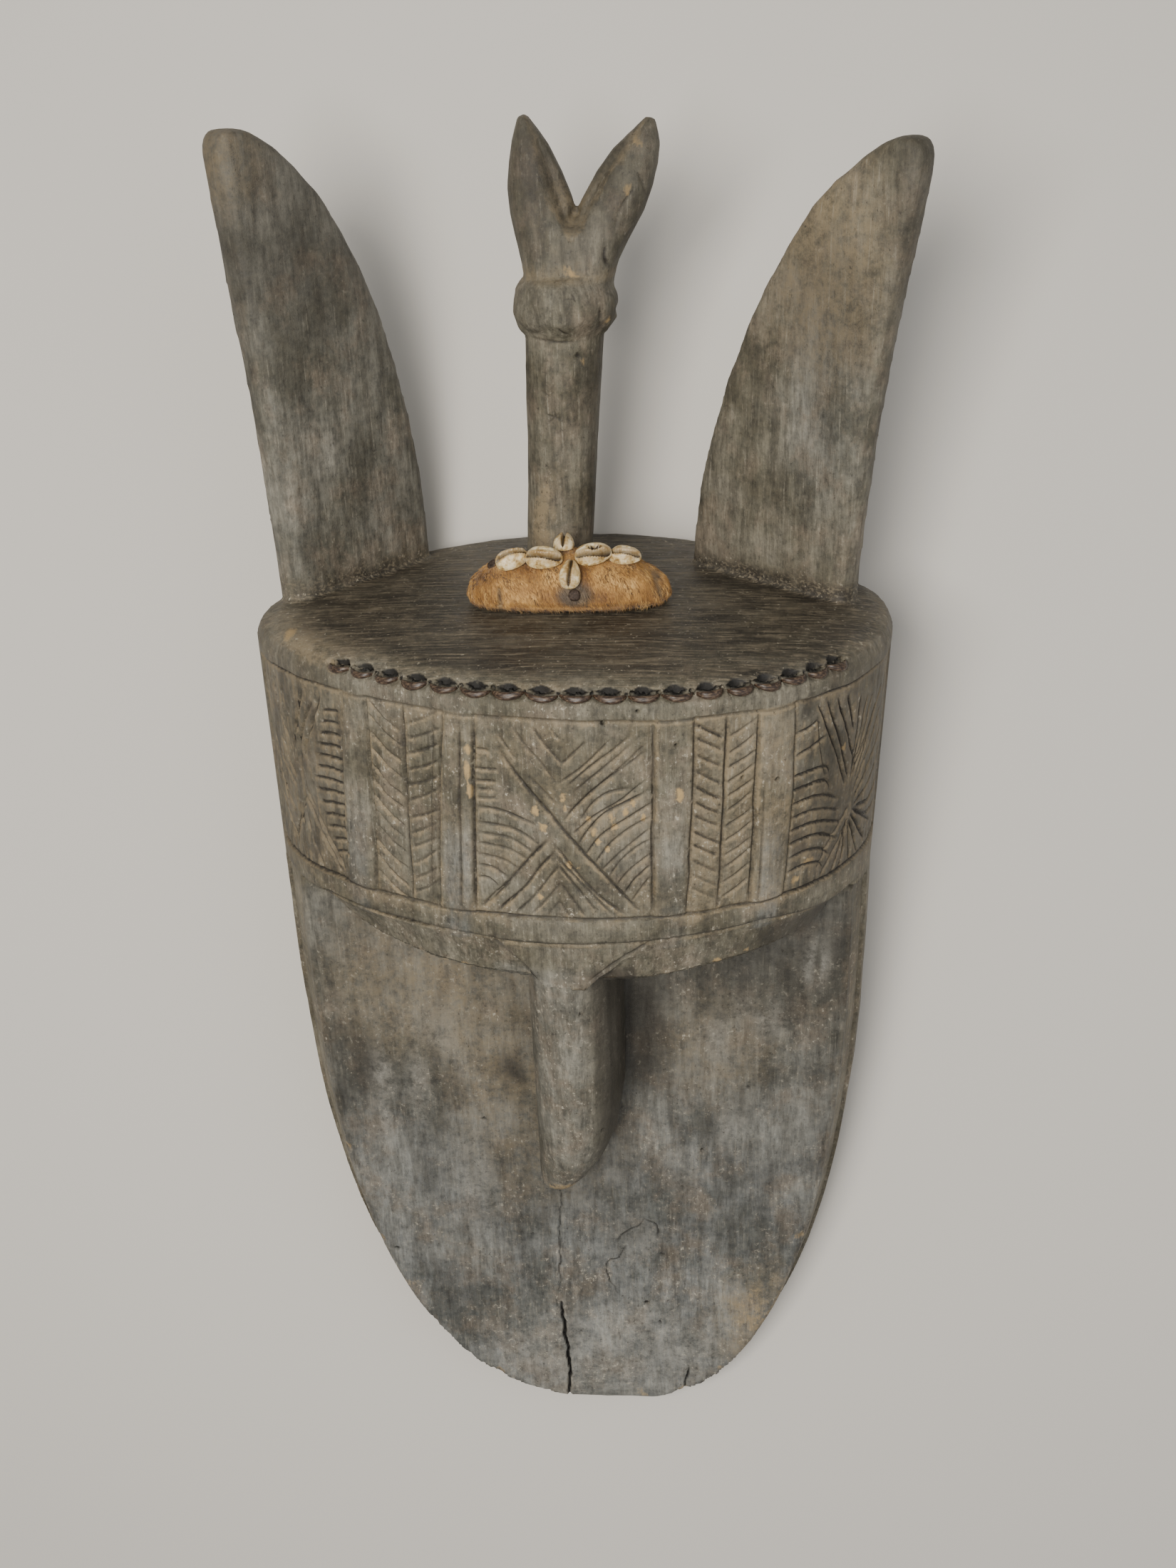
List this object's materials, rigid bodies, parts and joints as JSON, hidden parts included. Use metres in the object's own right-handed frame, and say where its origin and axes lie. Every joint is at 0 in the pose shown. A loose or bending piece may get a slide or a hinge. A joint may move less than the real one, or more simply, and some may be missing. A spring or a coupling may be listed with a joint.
{
  "type": "carved wooden mask with horned crown",
  "caption": "Carved wooden mask: oval drum crown with carved band, two horns, forked post, bar nose and blank shield face, with hide pad and cowries; hollow back.",
  "frame": {"origin": "on the surface the mask lies on, under the middle of its box", "axes": "+X across the mask to its right as seen from the front, +Y from chin to horns, +Z out of the face; the mask lies on its back rim"},
  "size_m": [0.3806, 0.8208, 0.2551],
  "materials": {
    "carved_wood": "aged grey-brown patina, adzed and rubbed, ochre dust in the cuts",
    "hide_thong": "dark, hard and glossy",
    "hair_hide": "tanned hide with short hair",
    "cowrie_shell": "worn porcelaneous shell",
    "rusted_iron": "dark rust"
  },
  "bodies": {
    "root": {"mask_body": "carved_wood", "rim_thong": "hide_thong", "hide_pad": "hair_hide", "cowrie_far_left": "cowrie_shell", "cowrie_left": "cowrie_shell", "cowrie_upper": "cowrie_shell", "cowrie_lower": "cowrie_shell", "cowrie_broken": "cowrie_shell", "cowrie_far_right": "cowrie_shell", "nail_front": "rusted_iron", "nail_left": "rusted_iron"}
  },
  "joints": []
}
